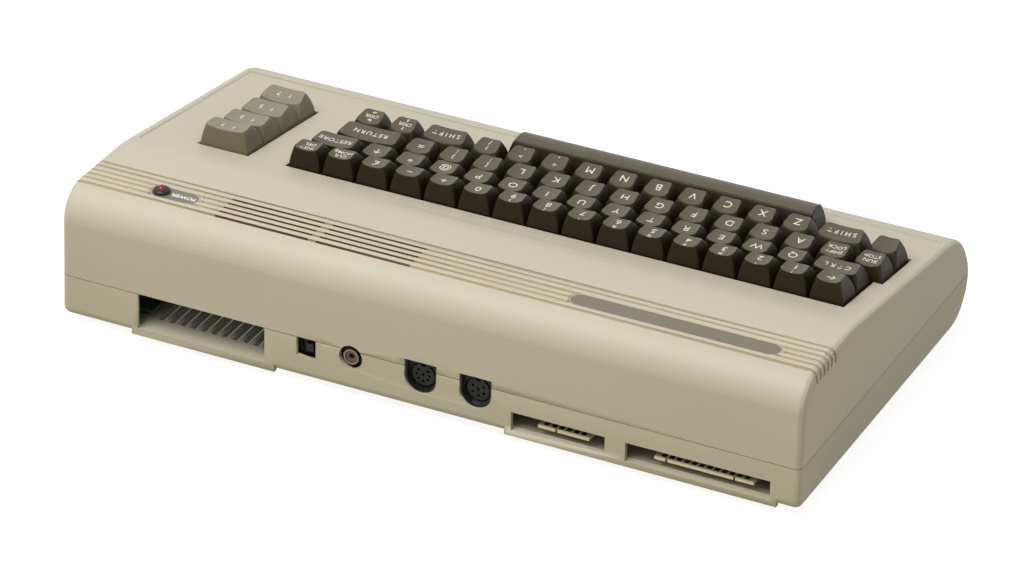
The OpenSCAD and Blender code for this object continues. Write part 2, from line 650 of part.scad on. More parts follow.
feet_at = [for (x = [-175, 175], y = [-74, 74]) [x, y]];
module rubber_feet() color([0.12, 0.12, 0.12]) for (p = feet_at) translate([p[0], p[1], 0])
    cylinder(d = foot_d, h = foot_h);
module case_screws() color([0.7, 0.7, 0.7]) for (p = case_screws_at)
    translate([p[0], p[1], base_z + head_deep])
        pan_screw(seam_z + 14 - base_z - head_deep, head_d = 5.8, head_h = 2.4);
module name_plate() color([0.6, 0.57, 0.5]) translate([plate_x, lamp_y, crown_z - plate_t - 0.25])
    round_bar(plate_l, plate_w, plate_t);
module lamp_plate() color([0.6, 0.57, 0.5]) difference() {
    translate([lamp_plate_x, lamp_y, crown_z - plate_t - 0.25])
        round_bar(lamp_plate_l, plate_w, plate_t);
    translate([lamp_x, lamp_y, crown_z - 10]) cylinder(d = lamp_d + 2.2, h = 12);
}
module lamp_bezel() color([0.2, 0.2, 0.2]) difference() {
    union() {
        translate([lamp_x, lamp_y, crown_z - 0.25]) cylinder(d = bezel_d, h = bezel_h * 0.55);
        translate([lamp_x, lamp_y, crown_z - 0.25 + bezel_h * 0.5])
            cylinder(d1 = bezel_d, d2 = bezel_d - 1.6, h = bezel_h * 0.5);
        translate([lamp_x, lamp_y, crown_z - 5]) cylinder(d = lamp_d + 2, h = 5);
    }
    translate([lamp_x, lamp_y, crown_z - 10]) cylinder(d = lamp_d + fit, h = 20);
}
module power_lamp() color([0.6, 0.05, 0.05]) translate([lamp_x, lamp_y, 0]) {
    translate([0, 0, lamp_base]) cylinder(d = lamp_d, h = crown_z + bezel_h - lamp_base - 1);
    translate([0, 0, crown_z + bezel_h - 1 - eps]) difference() {
        sphere(d = lamp_d);
        translate([-10, -10, -20]) cube([20, 20, 20]);
    }
    translate([0, 0, lamp_base]) cylinder(d = lamp_d + 0.8, h = 1);
}

// ---- Main board and what stands on it ----
module slab(x, y, z) translate([x[0], y[0], z[0]]) cube([x[1] - x[0], y[1] - y[0], z[1] - z[0]]);
tape_tongue = [-90.6, -63.1];
user_tongue = [-177.5, -125.3];
mouth_y = rear_y - bay_deep;
function middle(t) = (t[0] + t[1]) / 2;
tape_pads = [for (i = [0 : 5]) middle(tape_tongue) + (i - 2.5) * contact_step];
user_pads = [for (i = [0 : 11]) middle(user_tongue) + (i - 5.5) * contact_step];
notches = [middle(tape_tongue) + 1 * contact_step, middle(user_tongue) + 5 * contact_step,
    middle(user_tongue) - 4 * contact_step];
module main_board() color([0.2, 0.3, 0.18]) difference() {
    union() {
        slab([10 - hw, hw - 11], [-board_front, board_rear], [board_z, board_top]);
        for (t = [tape_tongue, user_tongue]) slab(t, [board_rear - 1, tongue_y], [board_z, board_top]);
    }
    slab([bay_x - 34, bay_x + 33.8], [mouth_y + 0.2, rear_y], [board_z - 1, board_top + 1]);
    for (x = notches) slab([x - 0.6, x + 0.6], [tongue_y - 5.5, tongue_y + 1], [board_z - 1, board_top + 1]);
    for (p = board_screws_at) translate([p[0], p[1], board_z - 1]) cylinder(d = screw_d + 0.6, h = 5);
}
module edge_contacts() color([0.75, 0.65, 0.35])
    for (x = concat(tape_pads, user_pads), z = [board_z - 0.08, board_top])
        slab([x - 1.25, x + 1.25], [tongue_y - 8.5, tongue_y - 1.2], [z, z + 0.08]);
// Each chip: its place, measured from the board's rear edge, and the length and width of its body.
chips_at = [[-150, -35, 52, 14], [-150, -63, 36, 14], [-90, -35, 52, 14], [-90, -59, 52, 14],
    [-90, -83, 52, 14], [-150, -89, 36, 14], [-150, -111, 20, 7], [-122, -111, 20, 7], [-94, -111, 20, 7],
    [-66, -111, 20, 7], [-150, -129, 20, 7], [-122, -129, 20, 7], [-94, -129, 20, 7], [-66, -129, 20, 7],
    [30, -77, 52, 14], [30, -55, 36, 14], [118, -47, 31, 14], [118, -71, 36, 14], [118, -93, 52, 14],
    [118, -117, 20, 7], [146, -117, 20, 7], [60, -121, 20, 7], [-20, -67, 20, 7], [-20, -51, 20, 7]];
module on_board(x, y) translate([x, board_rear + y, board_top]) children();
module chips() color([0.13, 0.13, 0.13]) for (c = chips_at) on_board(c[0], c[1]) {
    translate([-c[2] / 2, -c[3] / 2, 0.8]) cube([c[2], c[3], 3.6]);
    for (s = [-1, 1]) translate([1 - c[2] / 2, s * (c[3] / 2 + 0.15) - 0.15, 0]) cube([c[2] - 2, 0.3, 2.6]);
}
capacitors_at = [[170, -15, 14, 20], [170, -79, 8, 12], [152, -40, 8, 12], [-20, -21, 6.3, 11],
    [-42, -19, 6.3, 11], [-110, -13, 6.3, 11], [-112, -49, 5, 9], [94, -63, 6.3, 11], [84, -35, 6.3, 11],
    [-178, -77, 5, 9], [84, -123, 5, 9], [8, -37, 5, 9]];
module capacitors() color([0.1, 0.14, 0.3]) for (c = capacitors_at) on_board(c[0], c[1])
    cylinder(d = c[2], h = c[3]);
module crystal() color([0.8, 0.8, 0.8]) on_board(82.2, -19) round_bar(10.6, 4.7, 3.5);
sink_x = [142, 168];
sink_h = 18;
module heat_sink() color([0.7, 0.7, 0.7]) on_board(0, -57) {
    slab(sink_x, [0, 2], [0, sink_h]);
    for (i = [0 : 5]) slab([sink_x[0] + 1 + i * 4.5, sink_x[0] + 2.2 + i * 4.5], [1.9, 9], [3, sink_h]);
}
module fuse() color([0.8, 0.8, 0.78]) on_board(166, -33) translate([0, 0, 5]) {
    rotate([90, 0, 0]) cylinder(d = 5, h = 20, center = true);
    for (s = [-1, 1]) translate([-3.2, s * 8 - 1.5, -5]) cube([6.4, 3, 4.5]);
}
module board_screws() color([0.75, 0.75, 0.75]) for (p = board_screws_at)
    translate([p[0], p[1], board_top]) rotate([180, 0, 0]) pan_screw(board_t + 4);
// A tin box over the picture circuit, open below.
module tin_box(x, y, top) difference() {
    slab(x, y, [board_top, top]);
    slab([x[0] + 0.8, x[1] - 0.8], [y[0] + 0.8, y[1] - 0.8], [board_top - 1, top - 0.8]);
}
module board_shield() color([0.75, 0.75, 0.75])
    tin_box([-1, 70], [board_rear - 89, board_rear - 41], board_top + 15);
can_x = [22, 76];
can_rear = rear_y - 6;
module modulator_can() color([0.78, 0.78, 0.78]) tin_box(can_x, [can_rear - 40, can_rear], 33);
module rearward(x, y, z) translate([x, y, z]) rotate([-90, 0, 0]) children();
ring_wall = 0.9;
module aerial_jack() color([0.8, 0.8, 0.8]) difference() {
    union() {
        rearward(jack_x, can_rear, jack_z) cylinder(d = jack_d, h = 5.4);
        rearward(jack_x, can_rear, jack_z) cylinder(d = jack_d + 2.6, h = 0.8);
    }
    rearward(jack_x, can_rear - 1, jack_z) cylinder(d = jack_d - 2 * ring_wall, h = 20);
}
module jack_insulator() color([0.85, 0.83, 0.75]) difference() {
    rearward(jack_x, can_rear, jack_z) cylinder(d = jack_d - 2 * ring_wall - fit, h = 4.6);
    rearward(jack_x, can_rear + 1, jack_z) cylinder(d = 3.2, h = 20);
}
knob_z = chan_z + 5.2;
knob_half = 2.1;
module channel_switch() color([0.7, 0.7, 0.7]) difference() {
    slab([chan_x - 8, chan_x + 8], [can_rear, can_rear + 1.6], [knob_z - 5.5, knob_z + 5.5]);
    slab([chan_x - chan_travel / 2 - knob_half - 0.2, chan_x + chan_travel / 2 + knob_half + 0.2],
        [can_rear - 1, can_rear + 3], [knob_z - 2.3, knob_z + 2.3]);
}
module channel_knob() color([0.9, 0.9, 0.88])
    slab([chan_x - chan_travel / 2 - knob_half, chan_x - chan_travel / 2 + knob_half],
        [can_rear + 0.1, can_rear + 4.6], [knob_z - 2.1, knob_z + 2.1]);
// A round socket with a flat top: its face lies towards +z and its top towards -y.
module socket_form(less) {
    circle(d = din_w - 0.5 - 2 * less);
    translate([less + 0.25 - din_w / 2, less + 0.25 - din_up])
        square([din_w - 0.5 - 2 * less, din_up - 0.25 - less]);
}
module socket_face(angles, ring = 7.1) {
    difference() {
        cylinder(r = ring, h = 3);
        translate([0, 0, -1]) cylinder(r = ring - 1, h = 6);
    }
    translate([-1.2, -ring, 0]) cube([2.4, 2.4, 3]);
    translate([0, 0, -5]) {
        cylinder(d = 1.5, h = 8);
        for (a = angles) rotate(a) translate([0, 3.5, 0]) cylinder(d = 1.5, h = 8);
    }
}
module round_socket(x, angles) color([0.14, 0.14, 0.14])
    translate([x, rear_y - din_sink, din_z]) rotate([-90, 0, 0]) {
        difference() {
            translate([0, 0, -15.2]) linear_extrude(15.2) socket_form(0);
            translate([0, 0, -2]) socket_face(angles);
        }
        translate([0, 0, -eps]) linear_extrude(2.4) difference() {
            socket_form(0);
            socket_form(0.9);
        }
    }
module av_socket() round_socket(av_x, [for (i = [-3 : 3]) i * 43.6]);
module serial_socket() round_socket(serial_x, [for (i = [-2 : 2]) i * 60]);
module cartridge_connector() color([0.12, 0.12, 0.12]) difference() {
    slab([bay_x - 31, bay_x + 31], [mouth_y - 12, mouth_y], [board_top, board_top + 11.5]);
    slab([bay_x - 28.2, bay_x + 28.2], [mouth_y - 8, mouth_y + 1], [board_top + 4.6, board_top + 7]);
}
port_z = side_z + 0.6;
port_x = hw - 12;
module game_ports() for (y = [game_y1, game_y2]) translate([0, y, 0]) {
    color([0.13, 0.13, 0.13]) slab([port_x - 12, port_x], [-15.4, 15.4], [board_top, port_z + 5.8]);
    translate([port_x - eps, 0, port_z]) rotate([90, 0, 90]) linear_extrude(8.6) difference() {
        polygon([[-8.4, 4.2], [8.4, 4.2], [6.8, -4.2], [-6.8, -4.2]]);
        polygon([[-7.6, 3.6], [7.6, 3.6], [6.2, -3.6], [-6.2, -3.6]]);
    }
}
module game_port_pins() color([0.8, 0.7, 0.4]) for (y = [game_y1, game_y2], n = [0 : 8])
    translate([port_x, y + (n < 5 ? n - 2 : n - 6.5) * 2.77, port_z + (n < 5 ? 1.42 : -1.42)])
        rotate([0, 90, 0]) cylinder(d = 1, h = 5.5);
inlet_face = hw - 3.4;
inlet_x = hw - 9;
module power_socket() color([0.13, 0.13, 0.13]) {
    slab([inlet_x - 13, inlet_x + eps], [inlet_y - 8, inlet_y + 8], [board_top, side_z + 7.6]);
    difference() {
        translate([inlet_x, inlet_y, side_z]) rotate([0, 90, 0])
            cylinder(d = inlet_d - 0.8, h = inlet_face - inlet_x);
        translate([inlet_face - 2, inlet_y, side_z]) rotate([0, 90, 0]) rotate(-90)
            socket_face([for (i = [-3 : 2]) 22 + i * 45], 6.7);
    }
}
rocker_c = [hw - 7, power_y, side_z + 0.4];
module power_switch() color([0.12, 0.12, 0.12]) difference() {
    slab([rocker_c[0] - 13, hw - wall - 0.2], [power_y - 11.5, power_y + 11.5], [board_top, side_z + 7.4]);
    slab([rocker_c[0] - 4, hw], [power_y - 9.9, power_y + 9.9], [rocker_c[2] - 5.2, rocker_c[2] + 5.2]);
    translate([rocker_c[0], rocker_c[1], rocker_c[2] - 6]) cylinder(d = 2.1, h = 12);
}
rocker_face = 5.2;
rocker_end = rocker_face - 9.2 * tan(rocker_deg);
module power_rocker() color([0.1, 0.1, 0.1]) translate(rocker_c) rotate([0, 0, -rocker_deg]) {
    translate([0, 0, -5]) linear_extrude(10) polygon([[rocker_face, 0], [rocker_end, 9.2], [1, 8.4],
        [-1.4, 3], [-1.4, -3], [1, -8.4], [rocker_end, -9.2]]);
    translate([0, 0, -5.9]) cylinder(d = 2, h = 11.8);
}

upper_case();
lower_case();
rubber_feet();
case_screws();
name_plate();
lamp_plate();
lamp_bezel();
power_lamp();
lamp_wires();
keyboard_frame();
keyboard_board();
keyboard_screws();
key_springs();
keyboard_cable();
keyboard_plug();
shift_lock_switch();
space_bar_wire();
number_keys();
home_key();
delete_key();
control_key();
upper_letter_keys();
restore_key();
run_stop_key();
shift_lock_key();
middle_letter_keys();
return_key();
corner_key();
left_shift_key();
lower_letter_keys();
right_shift_key();
cursor_down_key();
cursor_right_key();
space_bar();
function_key_1();
function_key_2();
function_key_3();
function_key_4();
main_board();
edge_contacts();
chips();
capacitors();
crystal();
heat_sink();
fuse();
board_screws();
board_shield();
modulator_can();
aerial_jack();
jack_insulator();
channel_switch();
channel_knob();
av_socket();
serial_socket();
cartridge_connector();
game_ports();
game_port_pins();
power_socket();
power_switch();
power_rocker();
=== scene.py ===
import json
import math
import bpy
from mathutils import Matrix, Vector


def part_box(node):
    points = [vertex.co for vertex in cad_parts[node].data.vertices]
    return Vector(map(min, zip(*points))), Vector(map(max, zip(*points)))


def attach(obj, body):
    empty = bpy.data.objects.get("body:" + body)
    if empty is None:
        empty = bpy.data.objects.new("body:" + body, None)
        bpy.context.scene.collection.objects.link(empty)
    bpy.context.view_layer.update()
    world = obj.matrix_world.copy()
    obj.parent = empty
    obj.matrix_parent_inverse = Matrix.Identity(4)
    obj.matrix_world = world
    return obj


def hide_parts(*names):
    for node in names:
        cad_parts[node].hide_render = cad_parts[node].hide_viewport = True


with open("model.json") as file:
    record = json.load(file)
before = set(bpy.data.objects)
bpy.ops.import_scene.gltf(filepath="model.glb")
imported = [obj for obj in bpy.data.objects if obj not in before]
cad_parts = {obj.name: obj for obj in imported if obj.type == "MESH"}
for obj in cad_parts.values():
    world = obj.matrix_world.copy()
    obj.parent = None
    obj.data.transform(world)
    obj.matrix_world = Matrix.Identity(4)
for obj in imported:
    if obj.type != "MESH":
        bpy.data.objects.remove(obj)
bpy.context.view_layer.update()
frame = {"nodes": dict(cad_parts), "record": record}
nodes = frame["nodes"]
slotOf = {s["node"]: s["material_slot"] for s in frame["record"]["subparts"]}
bodyOf = {n: body for body, held in frame["record"]["behaviour"]["bodies"].items() for n in held}
caseBody = "computer_case"
mm = 0.001


# small helpers
def deselectAll():
    active = bpy.context.view_layer.objects.active
    if active is not None and active.mode != "OBJECT":
        bpy.ops.object.mode_set(mode="OBJECT")
    bpy.ops.object.select_all(action="DESELECT")


def pick(obj):
    deselectAll()
    obj.select_set(True)
    bpy.context.view_layer.objects.active = obj


def applyModifier(obj, kind, **settings):
    pick(obj)
    modifier = obj.modifiers.new(kind.title(), kind)
    for key, value in settings.items():
        setattr(modifier, key, value)
    bpy.ops.object.modifier_apply(modifier=modifier.name)


def selectFaces(obj, wanted):
    # leaves the piece in edit mode with the faces chosen by place or normal
    pick(obj)
    bpy.ops.object.mode_set(mode="EDIT")
    bpy.ops.mesh.select_mode(type="FACE")
    bpy.ops.mesh.select_all(action="DESELECT")
    bpy.ops.object.mode_set(mode="OBJECT")
    for face in obj.data.polygons:
        face.select = wanted(face)
    bpy.ops.object.mode_set(mode="EDIT")


def giveSelected(obj, index):
    # the faces selected in edit mode take the material in that slot
    obj.active_material_index = index
    bpy.ops.object.material_slot_assign()
    bpy.ops.object.mode_set(mode="OBJECT")


def mergedCopy(nodeName, newName, flat=2.0):
    # a free copy of a node's mesh, with its loose triangles joined and its flat faces merged
    source = nodes[nodeName]
    piece = source.copy()
    piece.data = source.data.copy()
    piece.name = newName
    for key in list(piece.keys()):
        del piece[key]
    piece.parent = None
    bpy.context.scene.collection.objects.link(piece)
    piece.hide_render = piece.hide_viewport = False
    pick(piece)
    bpy.ops.object.mode_set(mode="EDIT")
    bpy.ops.mesh.select_all(action="SELECT")
    bpy.ops.mesh.remove_doubles(threshold=0.01 * mm)
    if flat:
        bpy.ops.mesh.dissolve_limited(angle_limit=math.radians(flat))
    bpy.ops.object.mode_set(mode="OBJECT")
    return piece


def paint(obj, *mats):
    obj.data.materials.clear()
    for mat in mats:
        obj.data.materials.append(mat)


def smooth(piece, angle):
    pick(piece)
    bpy.ops.object.shade_smooth_by_angle(angle=math.radians(angle))
    applyModifier(piece, "WEIGHTED_NORMAL", keep_sharp=True, weight=60)


def softenEdges(piece, width, segments=2, above=32):
    applyModifier(piece, "BEVEL", width=width, segments=segments, limit_method="ANGLE",
                  angle_limit=math.radians(above), use_clamp_overlap=False, harden_normals=False)


def dress(nodeName, newName, edge, segments=2, above=32, flat=2.0, smoothAngle=34):
    # a copy of a node with softened edges and clean shading takes its place
    piece = mergedCopy(nodeName, newName, flat)
    if edge:
        softenEdges(piece, edge, segments, above)
    smooth(piece, smoothAngle)
    paint(piece, paints[slotOf[nodeName]])
    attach(piece, bodyOf[nodeName])
    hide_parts(nodeName)
    return piece


# the camera stands where the photo was taken
camera = {"azimuth": 205.4523, "elevation": 29.8655, "roll": 1.1737, "lens": 187.55, "sensor": 36,
          "place": (-1.0018, 2.1105, 1.3594), "farEnd": 20}


def addCamera():
    az, el, roll = (math.radians(camera[k]) for k in ("azimuth", "elevation", "roll"))
    ahead = Vector((-math.sin(az) * math.cos(el), math.cos(az) * math.cos(el), -math.sin(el)))
    right = Vector((math.cos(az), math.sin(az), 0))
    up = right.cross(ahead)
    tiltedRight = math.cos(roll) * right + math.sin(roll) * up
    tiltedUp = -math.sin(roll) * right + math.cos(roll) * up
    bpy.ops.object.camera_add()
    cam = bpy.context.object
    cam.name = "photoCamera"
    cam.data.lens = camera["lens"]
    cam.data.sensor_width = camera["sensor"]
    cam.data.clip_end = camera["farEnd"]
    cam.matrix_world = Matrix.Translation(camera["place"]) @ Matrix(
        (tiltedRight, tiltedUp, -ahead)).transposed().to_4x4()
    bpy.context.scene.camera = cam


deselectAll()
addCamera()
print("camera placed")


# materials: how coarse the clouds, the grain and the metal's streaks are
texture = {"cloudScale": 14, "cloudDetail": 4, "cloudLow": 0.3, "cloudHigh": 0.7,
           "grain": 0.04 * mm, "grainScale": 2600, "grainDetail": 2, "grainStrength": 0.6,
           "streakScale": 900, "streakStretch": (0.05, 1, 1), "scratch": 0.02 * mm,
           "topGrain": 0.07 * mm}


def newMaterial(name):
    mat = bpy.data.materials.new(name)
    mat.use_nodes = True
    return mat, mat.node_tree.nodes, mat.node_tree.links, mat.node_tree.nodes["Principled BSDF"]


def mouldedPlastic(name, tone, rough=0.45, grain=texture["grain"], cloud=0.03, coat=0.0, shine=0.5):
    # a plain tone with faint clouds in it, over a fine grain
    mat, made, links, shader = newMaterial(name)
    coords = made.new("ShaderNodeTexCoord")
    clouds = made.new("ShaderNodeTexNoise")
    clouds.inputs["Scale"].default_value = texture["cloudScale"]
    clouds.inputs["Detail"].default_value = texture["cloudDetail"]
    links.new(coords.outputs["Object"], clouds.inputs["Vector"])
    ramp = made.new("ShaderNodeValToRGB")
    ramp.color_ramp.elements[0].position = texture["cloudLow"]
    ramp.color_ramp.elements[1].position = texture["cloudHigh"]
    ramp.color_ramp.elements[0].color = [c * (1 - cloud) for c in tone] + [1]
    ramp.color_ramp.elements[1].color = [min(1, c * (1 + cloud)) for c in tone] + [1]
    links.new(clouds.outputs["Fac"], ramp.inputs["Fac"])
    links.new(ramp.outputs["Color"], shader.inputs["Base Color"])
    if grain:
        fine = made.new("ShaderNodeTexNoise")
        fine.inputs["Scale"].default_value = texture["grainScale"]
        fine.inputs["Detail"].default_value = texture["grainDetail"]
        links.new(coords.outputs["Object"], fine.inputs["Vector"])
        bump = made.new("ShaderNodeBump")
        bump.inputs["Strength"].default_value = texture["grainStrength"]
        bump.inputs["Distance"].default_value = grain
        links.new(fine.outputs["Fac"], bump.inputs["Height"])
        links.new(bump.outputs["Normal"], shader.inputs["Normal"])
    shader.inputs["Roughness"].default_value = rough
    shader.inputs["Coat Weight"].default_value = coat
    shader.inputs["Specular IOR Level"].default_value = shine
    return mat


def plainMetal(name, tone, rough=0.35):
    # fine streaks along the length change the gloss and the surface a little
    mat, made, links, shader = newMaterial(name)
    coords = made.new("ShaderNodeTexCoord")
    streaks = made.new("ShaderNodeTexNoise")
    streaks.inputs["Scale"].default_value = texture["streakScale"]
    stretch = made.new("ShaderNodeMapping")
    stretch.inputs["Scale"].default_value = texture["streakStretch"]
    links.new(coords.outputs["Object"], stretch.inputs["Vector"])
    links.new(stretch.outputs["Vector"], streaks.inputs["Vector"])
    spread = made.new("ShaderNodeMapRange")
    spread.inputs["To Min"].default_value = rough * 0.8
    spread.inputs["To Max"].default_value = rough * 1.25
    links.new(streaks.outputs["Fac"], spread.inputs["Value"])
    links.new(spread.outputs["Result"], shader.inputs["Roughness"])
    bump = made.new("ShaderNodeBump")
    bump.inputs["Distance"].default_value = texture["scratch"]
    links.new(streaks.outputs["Fac"], bump.inputs["Height"])
    links.new(bump.outputs["Normal"], shader.inputs["Normal"])
    shader.inputs["Base Color"].default_value = (*tone, 1)
    shader.inputs["Metallic"].default_value = 1
    return mat


paints = {
    "case_top": mouldedPlastic("beigeCase", (0.59, 0.545, 0.42), rough=0.5, cloud=0.015, shine=0.35),
    "case_base": mouldedPlastic("beigeBase", (0.545, 0.505, 0.375), rough=0.5, cloud=0.015, shine=0.35),
    "rubber": mouldedPlastic("blackRubber", (0.02, 0.02, 0.02), rough=0.8),
    "steel": plainMetal("zincSteel", (0.62, 0.62, 0.6)),
    "tin": plainMetal("tinSheet", (0.6, 0.6, 0.57), rough=0.4),
    "plate": mouldedPlastic("foilPlate", (0.2, 0.175, 0.125), rough=0.38, cloud=0.05, shine=0.4),
    "bezel": mouldedPlastic("bezelPlastic", (0.02, 0.019, 0.016), rough=0.3, shine=0.3),
    "lamp": mouldedPlastic("redLens", (0.19, 0.006, 0.007), rough=0.2, grain=0, coat=0.1),
    "black_wire": mouldedPlastic("wireSleeve", (0.02, 0.02, 0.02), rough=0.4),
    "frame": mouldedPlastic("blackFrame", (0.012, 0.011, 0.008), rough=0.5, shine=0.2),
    "brown_board": mouldedPlastic("brownBoard", (0.2, 0.12, 0.05), rough=0.5),
    "spring": plainMetal("springSteel", (0.6, 0.6, 0.6), rough=0.25),
    "ribbon": mouldedPlastic("greyRibbon", (0.4, 0.4, 0.38), rough=0.5),
    "pale_plastic": mouldedPlastic("palePlastic", (0.68, 0.65, 0.55), rough=0.4),
    "brown_plastic": mouldedPlastic("brownInsulator", (0.14, 0.075, 0.05), rough=0.5),
    "keys": mouldedPlastic("brownKeys", (0.022, 0.016, 0.0065), rough=0.38, cloud=0.06, shine=0.2),
    "function_keys": mouldedPlastic("greyBrownKeys", (0.165, 0.147, 0.088), rough=0.42, shine=0.28),
    "green_board": mouldedPlastic("greenBoard", (0.03, 0.07, 0.025), rough=0.35, coat=0.3),
    # painted shade: the contacts are a dull gilt, darkened further as painted shade of the slot's top over
    # them
    "gilt": plainMetal("shadedGiltContacts", (0.13, 0.11, 0.06), rough=0.5),
    "chip": mouldedPlastic("chipBodies", (0.02, 0.02, 0.02), rough=0.6),
    "capacitor": mouldedPlastic("blueSleeves", (0.02, 0.04, 0.2), rough=0.3),
    "aluminium": plainMetal("plainAluminium", (0.6, 0.6, 0.6), rough=0.45),
    "glass": mouldedPlastic("glassTube", (0.7, 0.72, 0.7), rough=0.1, grain=0),
    "socket": mouldedPlastic("socketBlack", (0.014, 0.015, 0.013), rough=0.45, shine=0.25),
    "chrome": plainMetal("brightPlate", (0.21, 0.19, 0.15), rough=0.5),
}
legendPaint = mouldedPlastic("creamLegend", (0.82, 0.79, 0.66), rough=0.4, grain=0, cloud=0.02)
letterPaint = mouldedPlastic("whiteLettering", (0.9, 0.9, 0.88), rough=0.4, grain=0, cloud=0.01)
tonguePaint = mouldedPlastic("bareTongue", (0.78, 0.74, 0.5), rough=0.45, cloud=0.04)
# painted shade: a dark paint for faces seen only in shade inside the openings
paintedShadeSheet = mouldedPlastic("paintedShadeSheet", (0.03, 0.026, 0.02), rough=0.6)
# the hollow tops of the caps are finely textured, and are painted paler than their smooth walls as a painted
# sheen of the light from above
grainAndSheenTopPaints = {
    "keys": mouldedPlastic("brownKeyTopsWithSheen", (0.1, 0.084, 0.052), rough=0.42, grain=texture["topGrain"],
                           cloud=0.1, shine=0.4),
    "function_keys": mouldedPlastic("greyBrownKeyTopsWithSheen", (0.27, 0.245, 0.175), rough=0.45,
                                    grain=texture["topGrain"], cloud=0.05, shine=0.35),
}
# painted shade: the grooves across the top are painted darker and warmer, where shade falls in them
grooveShadePaint = mouldedPlastic("paintedGrooveShade", (0.46, 0.39, 0.24), rough=0.6, cloud=0.04, shine=0.2)
shadePaint = mouldedPlastic("ventShade", (0.17, 0.11, 0.045), rough=0.7, cloud=0.05, shine=0.1)
# painted highlight: the pale rim stands for the light caught along the plates' edges
rimHighlightPaint = mouldedPlastic("paintedRimHighlight", (0.5, 0.47, 0.38), rough=0.35, grain=0, cloud=0.02)

for name, node in nodes.items():
    for i in range(len(node.material_slots)):
        node.material_slots[i].material = paints[slotOf[name]]
print("materials ready")

# floor and light: soft sky, one wide lamp above and behind the computer, warm bounce off the floor, and a
# painted shadow in the floor's glow under the computer
studio = {"bounce": (0.36, 0.32, 0.17), "glow": 0.9, "under": 0.25, "pale": 0.26, "skyLevel": 0.44,
          "floorSize": 30, "floorPlace": (0, 0, -0.2 * mm),
          "lampPlace": (0.5, 0.95, 1.9), "lampSize": 1.5, "lampPower": 33.0}
# how far out the painted shadow under the computer is full, and where the glow is whole again
paintedShadowFootprint = (("X", 0.18, 0.195), ("Y", 0.084, 0.097))


def seenRay(made, links):
    # 1 where the camera, a reflection or a clear body looks at the surface
    path = made.new("ShaderNodeLightPath")
    total = None
    for ray in ("Is Camera Ray", "Is Glossy Ray", "Is Transmission Ray"):
        if total is None:
            total = path.outputs[ray]
            continue
        both = made.new("ShaderNodeMath")
        both.operation = "MAXIMUM"
        links.new(total, both.inputs[0])
        links.new(path.outputs[ray], both.inputs[1])
        total = both.outputs["Value"]
    return total


def floorGlowWithPaintedShadow(made, links):
    # the glow is painted down under the computer, a painted shadow where little light comes in
    coords = made.new("ShaderNodeTexCoord")
    split = made.new("ShaderNodeSeparateXYZ")
    links.new(coords.outputs["Object"], split.inputs["Vector"])
    outside = made.new("ShaderNodeMath")
    outside.operation = "MAXIMUM"
    for i, (axis, near, far) in enumerate(paintedShadowFootprint):
        away = made.new("ShaderNodeMath")
        away.operation = "ABSOLUTE"
        links.new(split.outputs[axis], away.inputs[0])
        fade = made.new("ShaderNodeMapRange")
        fade.inputs["From Min"].default_value = near
        fade.inputs["From Max"].default_value = far
        links.new(away.outputs["Value"], fade.inputs["Value"])
        links.new(fade.outputs["Result"], outside.inputs[i])
    level = made.new("ShaderNodeMapRange")
    level.inputs["To Min"].default_value = studio["under"]
    level.inputs["To Max"].default_value = studio["glow"]
    links.new(outside.outputs["Value"], level.inputs["Value"])
    return level.outputs["Result"]


def addFloor():
    deselectAll()
    bpy.ops.mesh.primitive_plane_add(size=studio["floorSize"], location=studio["floorPlace"])
    floor = bpy.context.object
    floor.name = "floor"
    mat, made, links, shader = newMaterial("paleFloor")
    made.remove(shader)
    dull = made.new("ShaderNodeBsdfDiffuse")
    dull.inputs["Color"].default_value = (*studio["bounce"], 1)
    pale = made.new("ShaderNodeBsdfDiffuse")
    pale.inputs["Color"].default_value = (studio["pale"], studio["pale"], studio["pale"], 1)
    glow = made.new("ShaderNodeEmission")
    links.new(floorGlowWithPaintedShadow(made, links), glow.inputs["Strength"])
    lit = made.new("ShaderNodeAddShader")
    links.new(pale.outputs["BSDF"], lit.inputs[0])
    links.new(glow.outputs["Emission"], lit.inputs[1])
    mix = made.new("ShaderNodeMixShader")
    links.new(seenRay(made, links), mix.inputs["Fac"])
    links.new(dull.outputs["BSDF"], mix.inputs[1])
    links.new(lit.outputs["Shader"], mix.inputs[2])
    links.new(mix.outputs["Shader"], made["Material Output"].inputs["Surface"])
    floor.data.materials.append(mat)


def addLights():
    deselectAll()
    bpy.ops.object.light_add(type="AREA", location=studio["lampPlace"])
    lamp = bpy.context.object
    lamp.name = "softLamp"
    lamp.data.shape = "DISK"
    lamp.data.size = studio["lampSize"]
    lamp.data.energy = studio["lampPower"]
    lamp.rotation_euler = (-Vector(studio["lampPlace"])).to_track_quat("-Z", "Y").to_euler()
    world = bpy.data.worlds.new("studio")
    bpy.context.scene.world = world
    world.use_nodes = True
    made, links = world.node_tree.nodes, world.node_tree.links
    sky = made["Background"]
    sky.inputs["Strength"].default_value = studio["skyLevel"]
    sky.inputs["Color"].default_value = (1, 1, 1, 1)
    white = made.new("ShaderNodeBackground")
    white.inputs["Strength"].default_value = 1
    white.inputs["Color"].default_value = (1, 1, 1, 1)
    mix = made.new("ShaderNodeMixShader")
    links.new(seenRay(made, links), mix.inputs["Fac"])
    links.new(sky.outputs["Background"], mix.inputs[1])
    links.new(white.outputs["Background"], mix.inputs[2])
    links.new(mix.outputs["Shader"], made["World Output"].inputs["Surface"])


addFloor()
addLights()
print("studio ready")

